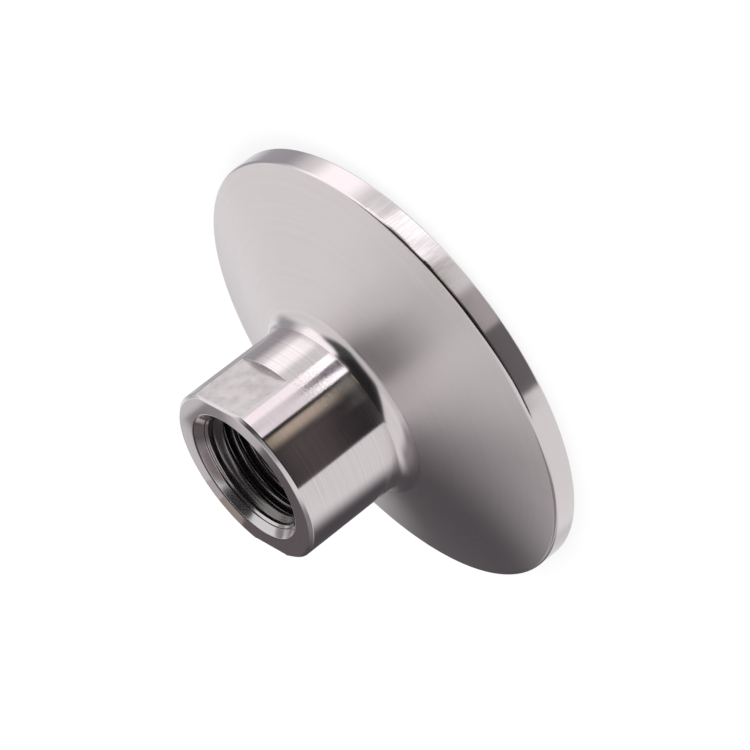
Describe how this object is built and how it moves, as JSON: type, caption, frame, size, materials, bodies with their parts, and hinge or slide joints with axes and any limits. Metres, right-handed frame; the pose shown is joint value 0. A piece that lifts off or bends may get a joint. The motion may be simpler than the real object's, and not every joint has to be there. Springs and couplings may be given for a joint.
{
  "type": "sanitary clamp threaded adapter",
  "caption": "Turned sanitary clamp flange with a female threaded hub, a through passage, a gasket groove and wrench flats.",
  "frame": {"origin": "centre of the sealing face, on which the adapter stands", "axes": "+Z along the axis towards the hub's end face, wrench flats facing -Y and +Y"},
  "size_m": [0.0506, 0.0504, 0.0212],
  "materials": {
    "turned_steel": "turned stainless steel, satin on the clamp cone, brighter on the rim and hub, finely milled wrench flats"
  },
  "bodies": {
    "root": {"adapter_body": "turned_steel"}
  },
  "joints": []
}
